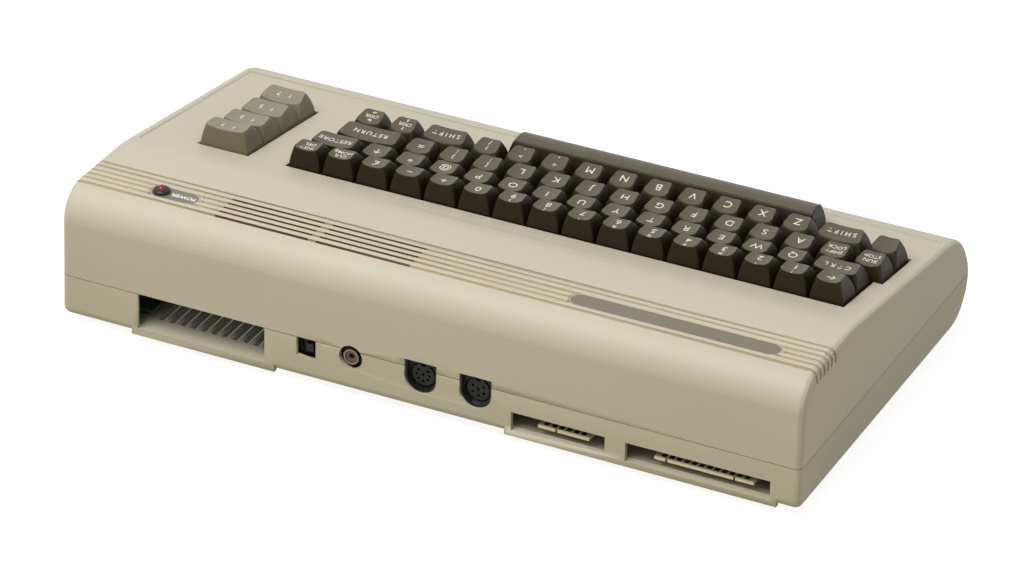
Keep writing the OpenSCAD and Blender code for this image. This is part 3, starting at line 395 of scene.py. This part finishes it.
# case halves: their edges are rounded in the form itself, so they get clean shading alone;
# the sizes say where the grooves, the vent slots in them and the seam at the rear lie
caseFinish = {"flat": 0.0, "smooth": 34, "grooveStart": 70.4, "grooveStep": 4.475, "grooves": 6,
              "grooveReach": 0.95, "grooveLow": 66, "ventLow": 71.5, "ventReach": 0.1,
              "seamHeight": 27.5, "seamReach": 0.3, "rear": 100}
ventEnds = [(14.3, 66.1), (70.6, 122.4)]
grooveLines = [caseFinish["grooveStart"] + caseFinish["grooveStep"] * i for i in range(caseFinish["grooves"])]


def nearLine(y, lines):
    return any(abs(y - line) < caseFinish["grooveReach"] for line in lines)


def inVent(face):
    # the first groove has no vents
    x, y, z = (c / mm for c in face.center)
    reach = caseFinish["ventReach"]
    return (abs(face.normal.z) < 0.5 and z > caseFinish["ventLow"] and nearLine(y, grooveLines[1:])
            and any(a - reach < x < b + reach for a, b in ventEnds))


# faces in the grooves, which take the painted groove shade
def inGroove(face):
    return face.center.z / mm > caseFinish["grooveLow"] and nearLine(face.center.y / mm, grooveLines)


def inSeam(face):
    x, y, z = (c / mm for c in face.center)
    return (face.normal.y > 0.9 and y > caseFinish["rear"]
            and abs(z - caseFinish["seamHeight"]) < caseFinish["seamReach"])


def dressShell(nodeName, newName):
    shell = mergedCopy(nodeName, newName, caseFinish["flat"])
    bpy.ops.object.mode_set(mode="EDIT")
    if nodeName == "upper_case":
        # the grooves are cut across where the vents end, so that each face takes one painted shade
        for place in sum(ventEnds, ()):
            bpy.ops.mesh.select_all(action="SELECT")
            bpy.ops.mesh.bisect(plane_co=(place * mm, 0, 0), plane_no=(1, 0, 0))
    bpy.ops.object.mode_set(mode="OBJECT")
    paint(shell, paints[slotOf[nodeName]], grooveShadePaint, shadePaint)
    # groove faces take the painted groove shade; vent walls and the rear seam take the painted vent shade
    for i, wanted in ((1, inGroove), (2, lambda face: inVent(face) or inSeam(face))):
        selectFaces(shell, wanted)
        giveSelected(shell, i)
    smooth(shell, caseFinish["smooth"])
    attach(shell, caseBody)
    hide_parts(nodeName)


dressShell("upper_case", "upperShell")
dressShell("lower_case", "lowerShell")
print("case halves dressed")

# keycaps: each form is shaped once, in millimetres from the middle of its place on the panel,
# and copied; the legends are laid on the hollow tops
keyFinish = {"edge": 0.4 * mm, "segments": 3, "above": 28, "smooth": 40, "topFacing": 0.88}
capForm = {"skirt": 3.5, "gap": 0.85, "sideLean": 3.0, "dish": 1.1, "wall": 1.3,
           "corner": 2.2, "cornerSegments": 4, "low": 0.8, "high": 2.3,
           "blockHeight": 10, "layers": (0.25, 0.48, 0.68, 0.85), "column": 1.4,
           "stem": 4.2, "stemSink": 0.3, "footLow": -13.3, "footHigh": -11.3, "footSide": 7.2}
# for each row: how far the front and rear walls lean in, and how high the top's front and rear edges are
capRows = [(9.5, -1.0, 12.8, 11.7), (7.4, 0.0, 10.8, 9.0), (5.6, 1.3, 10.8, 7.9), (5.9, 2.6, 12.3, 8.4)]
panel = {"tilt": math.radians(8), "height": 67.7, "pitch": 19.05, "left": -186.6, "rear": 25.06,
         "functionX": 154.69, "functionUnits": 1.5}
# in key pitches: where each row starts, and how wide its keys are
rowStart = [0, 0, -0.25, -0.25]
rowUnits = [[1] * 16, [1.5] + [1] * 13 + [1.5], [1] * 14 + [2], [1, 1.5] + [1] * 10 + [1.5, 1, 1]]
# along the panel from the key's middle: front and rear edge of each row's tops, and how high they are
topSpan = [(0.4, 10.1, 12.8, 11.7), (-1.7, 9.1, 10.8, 9.0), (-3.5, 7.8, 10.8, 7.9), (-3.2, 6.5, 12.3, 8.4)]
# glyph sizes, and how far from the middle of the top they stand
legendStyle = {"letter": 6.3, "pairDigit": 4.9, "pairSign": 4.0, "pairGap": 2.1,
               "number": 6.0, "numberAt": -1.7, "sign": 3.6, "signAt": 3.4, "word": 4.4,
               "small": 3.6, "smallGap": 1.95, "arrow": 3.2, "arrowGap": 3.1, "betweenArrows": 3.1,
               "spread": 4.6, "spreadGap": 3.2, "bold": 0.05 * mm, "middle": 0.36, "above": 1,
               "step": 1.2 * mm, "lift": 0.03 * mm, "thick": 0.06 * mm}
barFinish = {"edge": 0.55 * mm, "segments": 3, "above": 25, "flat": 0.2, "smooth": 40, "topLow": 66 * mm}


def keyPlace(row, i):
    units = rowStart[row] + sum(rowUnits[row][:i]) + rowUnits[row][i] / 2
    return panel["left"] + panel["pitch"] * units


def leanAt(lean, at, w):
    # how far a wall has leaned in at height w: along an arc that gets to its full lean at the top
    if lean <= 0:
        return lean * (w + capForm["skirt"]) / (at + capForm["skirt"])
    r = (lean ** 2 + (at + capForm["skirt"]) ** 2) / (2 * lean)
    return r - math.sqrt(max(0, r ** 2 - (w + capForm["skirt"]) ** 2))


def topHeight(half, halfV, row, x, v):
    # the top slopes from its front to its rear edge and is hollow across
    frontIn, rearIn, frontHigh, rearHigh = capRows[row]
    along = (v + halfV - frontIn) / (2 * halfV - frontIn - rearIn)
    reach = half - capForm["sideLean"]
    r = (reach ** 2 + capForm["dish"] ** 2) / (2 * capForm["dish"])
    hollow = capForm["dish"] - r + math.sqrt(r ** 2 - min(abs(x), reach) ** 2)
    return frontHigh + along * (rearHigh - frontHigh) - hollow


def wallPlace(half, halfV, row, x, v, w):
    # where a point of the plain block lies on the cap at some height
    frontIn, rearIn, frontHigh, rearHigh = capRows[row]
    corner = capForm["corner"]
    share = (w + capForm["skirt"]) / (frontHigh + capForm["skirt"])
    r = capForm["low"] + (capForm["high"] - capForm["low"]) * share
    side = half - leanAt(capForm["sideLean"], (frontHigh + rearHigh) / 2, w)
    front = leanAt(frontIn, frontHigh, w) - halfV
    rear = halfV - leanAt(rearIn, rearHigh, w)
    if abs(x) <= half - corner:
        x = x * (side - r) / (half - corner)
    else:
        x = math.copysign(side - r + r * (abs(x) - half + corner) / corner, x)
    inner = halfV - corner
    if v > inner:
        v = rear - r + r * (v - inner) / corner
    elif v < -inner:
        v = front + r - r * (-v - inner) / corner
    else:
        v = front + r + (v + inner) / (2 * inner) * (rear - front - 2 * r)
    return x, v


def shapeBlock(half, halfV):
    # a block with rounded upright edges, cut across in columns and layers and open below
    deselectAll()
    bpy.ops.mesh.primitive_cube_add(size=1)
    block = bpy.context.object
    height = capForm["blockHeight"]
    block.scale = (2 * half * mm, 2 * halfV * mm, height * mm)
    bpy.ops.object.transform_apply(location=False, rotation=False, scale=True)
    bpy.ops.object.mode_set(mode="EDIT")
    bpy.ops.mesh.select_mode(type="EDGE")
    bpy.ops.mesh.select_all(action="DESELECT")
    bpy.ops.object.mode_set(mode="OBJECT")
    for edge in block.data.edges:
        a, b = (block.data.vertices[i].co for i in edge.vertices)
        edge.select = abs(a.z - b.z) > height / 2 * mm
    bpy.ops.object.mode_set(mode="EDIT")
    bpy.ops.mesh.bevel(offset=capForm["corner"] * mm, segments=capForm["cornerSegments"], affect="EDGES")
    straight = half - capForm["corner"]
    columns = math.ceil(2 * straight / capForm["column"])
    planes = [((-straight + 2 * straight * i / columns, 0, 0), (1, 0, 0)) for i in range(columns + 1)]
    planes += [((0, v, 0), (0, 1, 0)) for v in (capForm["corner"] - halfV, 0, halfV - capForm["corner"])]
    planes += [((0, 0, height * share - height / 2), (0, 0, 1)) for share in capForm["layers"]]
    for place, normal in planes:
        bpy.ops.mesh.select_all(action="SELECT")
        bpy.ops.mesh.bisect(plane_co=[c * mm for c in place], plane_no=normal)
    selectFaces(block, lambda face: face.center.z < (0.1 - height / 2) * mm)
    bpy.ops.mesh.delete(type="FACE")
    bpy.ops.object.mode_set(mode="OBJECT")
    return block


def shapeStem(roof):
    # a square stem rising from a wider foot
    low, high, side = capForm["footLow"], capForm["footHigh"], capForm["footSide"]
    deselectAll()
    bpy.ops.mesh.primitive_cube_add(size=1, location=(0, 0, (low + high) / 2 * mm))
    stem = bpy.context.object
    stem.scale = (side * mm, side * mm, (high - low) * mm)
    bpy.ops.object.transform_apply(location=True, rotation=False, scale=True)
    selectFaces(stem, lambda face: face.normal.z > 0.9)
    bpy.ops.mesh.inset(thickness=(side - capForm["stem"]) / 2 * mm)
    bpy.ops.mesh.extrude_region_move(TRANSFORM_OT_translate={"value": (0, 0, (roof - high) * mm)})
    bpy.ops.object.mode_set(mode="OBJECT")
    return stem


def shapeCap(units, row, across):
    # every point of the block moves to its place on the cap, then edges, the paler top with its painted
    # sheen, walls and stem are added
    half = (units * panel["pitch"] - capForm["gap"]) / 2
    halfV = (panel["pitch"] - capForm["gap"]) / 2
    cap = shapeBlock(half, halfV)
    for vertex in cap.data.vertices:
        x, v = vertex.co.x / mm, vertex.co.y / mm
        share = vertex.co.z / mm / capForm["blockHeight"] + 0.5
        # the height of the top over a point settles in a few rounds
        top = capRows[row][2]
        for i in range(4):
            top = topHeight(half, halfV, row, *wallPlace(half, halfV, row, x, v, top))
        w = share * (top + capForm["skirt"]) - capForm["skirt"]
        x, v = wallPlace(half, halfV, row, x, v, w)
        vertex.co = (x * mm, v * mm, w * mm)
    softenEdges(cap, keyFinish["edge"], keyFinish["segments"], keyFinish["above"])
    kind = "keys" if across < panel["functionX"] else "function_keys"
    paint(cap, paints[kind], grainAndSheenTopPaints[kind])
    # the tops take the paler tone: fine grain and a painted sheen
    selectFaces(cap, lambda face: face.normal.z > keyFinish["topFacing"])
    giveSelected(cap, 1)
    applyModifier(cap, "SOLIDIFY", thickness=capForm["wall"] * mm, offset=-1)
    stem = shapeStem(topHeight(half, halfV, row, 0, 0) - capForm["wall"] + capForm["stemSink"])
    stem.select_set(True)
    cap.select_set(True)
    bpy.context.view_layer.objects.active = cap
    bpy.ops.object.join()
    return cap


# the forms shaped so far, by width, row and kind; they are deleted once all copies are made
capForms = {}


def placeCap(units, row, across):
    form = (units, row, across == panel["functionX"])
    if form not in capForms:
        capForms[form] = shapeCap(units, row, across)
    cap = capForms[form].copy()
    cap.data = cap.data.copy()
    bpy.context.scene.collection.objects.link(cap)
    v = panel["rear"] - panel["pitch"] * (row + 0.5)
    cap.location = (across * mm, v * math.cos(panel["tilt"]) * mm,
                    (panel["height"] + v * math.sin(panel["tilt"])) * mm)
    cap.rotation_euler = (panel["tilt"], 0, 0)
    return cap


def joinPieces(pieces, name):
    deselectAll()
    for piece in pieces:
        piece.select_set(True)
    bpy.context.view_layer.objects.active = pieces[0]
    if len(pieces) > 1:
        bpy.ops.object.join()
    bpy.ops.object.transform_apply(location=True, rotation=True, scale=True)
    bpy.context.object.name = name
    return bpy.context.object


def topFrame(row):
    # middle and slope of a row's tops, in world millimetres
    front, rear, frontW, rearW = topSpan[row]
    v = panel["rear"] - panel["pitch"] * (row + 0.5) + (front + rear) / 2
    w = (frontW + rearW) / 2
    slope = panel["tilt"] + math.atan2(rearW - frontW, rear - front)
    c, s = math.cos(panel["tilt"]), math.sin(panel["tilt"])
    return v * c - w * s, panel["height"] + v * s + w * c, slope


def layLine(words, size, across, row, along, target, spacing=1.0):
    # a line of text above the top, cut into narrow strips and laid on the hollow
    y, z, slope = topFrame(row)
    down = along - legendStyle["middle"] * size
    y += down * math.cos(slope)
    z += down * math.sin(slope) + legendStyle["above"]
    deselectAll()
    bpy.ops.object.text_add(location=(across * mm, y * mm, z * mm), rotation=(slope, 0, 0))
    text = bpy.context.object
    text.data.body = words
    text.data.size = size * mm
    text.data.align_x = "CENTER"
    text.data.space_character = spacing
    # the M folds over itself when its strokes are widened
    text.data.offset = 0 if words == "M" else legendStyle["bold"]
    bpy.ops.object.convert(target="MESH")
    text = bpy.context.object
    paint(text, legendPaint)
    half = max(abs(v.co.x) for v in text.data.vertices)
    cuts = int(half / legendStyle["step"])
    bpy.ops.object.mode_set(mode="EDIT")
    for k in range(-cuts, cuts + 1):
        bpy.ops.mesh.select_all(action="SELECT")
        bpy.ops.mesh.bisect(plane_co=(across * mm + k * legendStyle["step"], 0, 0), plane_no=(1, 0, 0))
    bpy.ops.object.mode_set(mode="OBJECT")
    applyModifier(text, "SHRINKWRAP", target=target, wrap_method="PROJECT", use_project_z=True,
                  use_negative_direction=True, use_positive_direction=True, wrap_mode="ABOVE_SURFACE",
                  offset=legendStyle["lift"])
    bpy.ops.object.transform_apply(location=True, rotation=True, scale=True)
    return text


def layLegend(row, across, legend, target):
    # one glyph, a sign over a digit, one wide word, two short words, or arrows round a word
    style = legendStyle
    kind, parts = legend
    if kind == "letter":
        return [layLine(parts[0], style["letter"], across, row, 0, target)]
    if kind == "pair":
        return [layLine(parts[0], style["pairSign"], across, row, style["pairGap"], target),
                layLine(parts[1], style["pairDigit"], across, row, -style["pairGap"], target)]
    if kind == "number":
        return [layLine(parts[0], style["sign"], across, row, style["signAt"], target),
                layLine(parts[1], style["number"], across, row, style["numberAt"], target)]
    if kind == "word":
        return [layLine(parts[0], style["word"], across, row, 0, target, parts[1])]
    if kind == "small":
        gap = style["smallGap"]
        return [layLine(parts[0], style["small"], across, row, gap, target),
                layLine(parts[1], style["small"], across, row, -gap, target)]
    if kind == "around":
        gap = style["arrowGap"]
        return [layLine(parts[0], style["arrow"], across, row, gap, target),
                layLine(parts[1], style["betweenArrows"], across, row, 0, target),
                layLine(parts[2], style["arrow"], across, row, -gap, target)]
    gap = style["spreadGap"]
    return [layLine(parts[0], style["spread"], across - gap, row, 0, target),
            layLine(parts[1], style["spread"], across + gap, row, 0, target)]


def letters(words):
    return [("letter", (c,)) for c in words]


def pairs(kind, *both):
    return [(kind, (b[0], b[1])) for b in both]


# for each node: its row, the place of its first key in the row, and its legends;
# a wide word comes with its letter spacing
signsAndDigits = ("!1", '"2', "#3", "$4", "%5", "&6", "'7", "(8", ")9")
keyRows = {
    "number_keys": (0, 0, letters("←") + pairs("number", *signsAndDigits) + letters("0+−£")),
    "home_key": (0, 14, [("small", ("CLR", "HOME"))]),
    "delete_key": (0, 15, [("small", ("INST", "DEL"))]),
    "control_key": (1, 0, [("word", ("CTRL", 1.55))]),
    "upper_letter_keys": (1, 1, letters("QWERTYUIOP@*↑")),
    "restore_key": (1, 14, [("word", ("RESTORE", 1.05))]),
    "run_stop_key": (2, 0, [("small", ("RUN", "STOP"))]),
    "shift_lock_key": (2, 1, [("small", ("SHIFT", "LOCK"))]),
    "middle_letter_keys": (2, 2, letters("ASDFGHJKL") + pairs("pair", "[:", "];") + letters("=")),
    "return_key": (2, 14, [("word", ("RETURN", 1.25))]),
    "corner_key": (3, 0, []),
    "left_shift_key": (3, 1, [("word", ("SHIFT", 1.5))]),
    "lower_letter_keys": (3, 2, letters("ZXCVBNM") + pairs("pair", "<,", ">.", "?/")),
    "right_shift_key": (3, 12, [("word", ("SHIFT", 1.5))]),
    "cursor_down_key": (3, 13, [("around", ("⇑", "CRSR", "⇓"))]),
    "cursor_right_key": (3, 14, [("around", ("⇐", "CRSR", "⇒"))]),
}


def inCamel(nodeName):
    first, *rest = nodeName.split("_")
    return first + "".join(word.title() for word in rest)


def capsOf(nodeName, places):
    # one piece in place of the node, with a cap at each of its places
    cap = joinPieces([placeCap(*place) for place in places], inCamel(nodeName))
    smooth(cap, keyFinish["smooth"])
    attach(cap, bodyOf[nodeName])
    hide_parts(nodeName)
    return cap


def addLegends(nodeName, made):
    legendPiece = joinPieces(made, inCamel(nodeName) + "Legend")
    applyModifier(legendPiece, "SOLIDIFY", thickness=legendStyle["thick"], offset=-1)
    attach(legendPiece, bodyOf[nodeName])


def addKeys():
    for nodeName, (row, first, legends) in keyRows.items():
        count = max(1, len(legends))
        places = [(rowUnits[row][i], row, keyPlace(row, i)) for i in range(first, first + count)]
        cap = capsOf(nodeName, places)
        made = []
        for i, legend in enumerate(legends):
            made += layLegend(row, keyPlace(row, first + i), legend, cap)
        if made:
            addLegends(nodeName, made)
    for row in range(len(capRows)):
        nodeName = "function_key_%d" % (row + 1)
        cap = capsOf(nodeName, [(panel["functionUnits"], row, panel["functionX"])])
        legend = ("spread", ("f", str(2 * row + 1)))
        addLegends(nodeName, layLegend(row, panel["functionX"], legend, cap))
    deselectAll()
    for form in capForms.values():
        form.select_set(True)
    bpy.ops.object.delete()


def addSpaceBar():
    bar = dress("space_bar", "spaceBar", barFinish["edge"], barFinish["segments"], barFinish["above"],
                flat=barFinish["flat"], smoothAngle=barFinish["smooth"])
    # the bar's top takes the paler tone with its painted sheen
    bar.data.materials.append(grainAndSheenTopPaints["keys"])
    selectFaces(bar, lambda face: (face.normal.z > keyFinish["topFacing"]
                                   and face.center.z > barFinish["topLow"]))
    giveSelected(bar, 1)


addKeys()
addSpaceBar()
print("keys and legends ready")

# plates: a pale raised rim, painted as a highlight along the edge, round a darker face, with POWER beside the
# lamp
plateFinish = {"rim": 0.45 * mm, "sink": -0.12 * mm, "edge": 0.12 * mm, "smooth": 34,
               "letterSize": 3.9, "bold": 0.14 * mm, "middle": 0.36, "wordX": 144.7,
               "lift": 0.03 * mm, "thick": 0.05 * mm}


def addPlates():
    for nodeName, newName in (("name_plate", "namePlate"), ("lamp_plate", "lampPlate")):
        plate = mergedCopy(nodeName, newName)
        softenEdges(plate, plateFinish["edge"])
        high = max(v.co.z for v in plate.data.vertices)
        # the rim takes the painted highlight, and the sunk face keeps the plate's own tone
        paint(plate, rimHighlightPaint, paints["plate"])
        selectFaces(plate, lambda face: face.normal.z > 0.99 and face.center.z > high - 0.02 * mm)
        bpy.ops.mesh.inset(thickness=plateFinish["rim"], depth=plateFinish["sink"])
        giveSelected(plate, 1)
        smooth(plate, plateFinish["smooth"])
        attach(plate, bodyOf[nodeName])
        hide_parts(nodeName)


def addPowerWord():
    low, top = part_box("lamp_plate")
    deselectAll()
    size = plateFinish["letterSize"]
    along = (low[1] + top[1]) / 2 - plateFinish["middle"] * size * mm
    high = top[2] + plateFinish["sink"] + plateFinish["lift"]
    bpy.ops.object.text_add(location=(plateFinish["wordX"] * mm, along, high))
    word = bpy.context.object
    word.data.body = "POWER"
    word.data.size = size * mm
    word.data.align_x = "CENTER"
    word.data.offset = plateFinish["bold"]
    bpy.ops.object.convert(target="MESH")
    word = bpy.context.object
    bpy.ops.object.transform_apply(location=True, rotation=True, scale=True)
    word.name = "powerWord"
    paint(word, letterPaint)
    applyModifier(word, "SOLIDIFY", thickness=plateFinish["thick"], offset=-1)
    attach(word, caseBody)


addPlates()
addPowerWord()
print("plates ready")

# the smaller visible parts: softened edges, each with the width in millimetres that suits it
partEdges = {"rubber_feet": 0.6, "case_screws": 0.15, "lamp_bezel": 0.2, "power_lamp": 0.0,
             "aerial_jack": 0.15, "jack_insulator": 0.1, "channel_switch": 0.1, "channel_knob": 0.15,
             "av_socket": 0.0, "serial_socket": 0.0, "cartridge_connector": 0.2, "game_ports": 0.25,
             "game_port_pins": 0.0, "power_socket": 0.0, "power_switch": 0.2, "power_rocker": 0.25,
             "edge_contacts": 0.0, "board_shield": 0.15}
partFinish = {"flat": 0.5, "jackFlange": 102.85 * mm, "tongueStart": 97.5 * mm, "boardSmooth": 30,
              "canEdge": 0.15 * mm, "canSmooth": 34}


def dressParts():
    for nodeName, width in partEdges.items():
        piece = dress(nodeName, inCamel(nodeName), width * mm, flat=partFinish["flat"])
        if nodeName == "aerial_jack":
            # the flange at the foot of the ring is painted dark as painted shade, like the shadow round the
            # jack
            piece.data.materials.append(paintedShadeSheet)
            selectFaces(piece, lambda face: face.center.y < partFinish["jackFlange"])
            giveSelected(piece, 1)


def dressBoard():
    # the bare tongues at the rear edge are paler than the lacquered board
    board = mergedCopy("main_board", "mainBoard", partFinish["flat"])
    bpy.ops.object.mode_set(mode="EDIT")
    bpy.ops.mesh.select_all(action="SELECT")
    bpy.ops.mesh.bisect(plane_co=(0, partFinish["tongueStart"], 0), plane_no=(0, 1, 0))
    paint(board, paints["green_board"], tonguePaint)
    selectFaces(board, lambda face: face.center.y > partFinish["tongueStart"])
    giveSelected(board, 1)
    smooth(board, partFinish["boardSmooth"])
    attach(board, caseBody)
    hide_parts("main_board")


def dressCan():
    # the can's rear wall, seen through the openings, is painted dark as painted shade of the dim inside
    can = mergedCopy("modulator_can", "modulatorCan", partFinish["flat"])
    softenEdges(can, partFinish["canEdge"])
    paint(can, paints["tin"], paintedShadeSheet)
    rear = max(v.co.y for v in can.data.vertices)
    selectFaces(can, lambda face: face.normal.y > 0.9 and face.center.y > rear - 0.1 * mm)
    giveSelected(can, 1)
    smooth(can, partFinish["canSmooth"])
    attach(can, caseBody)
    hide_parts("modulator_can")


dressParts()
dressBoard()
dressCan()
print("small parts ready")

bpy.context.scene.view_settings.view_transform = "Standard"
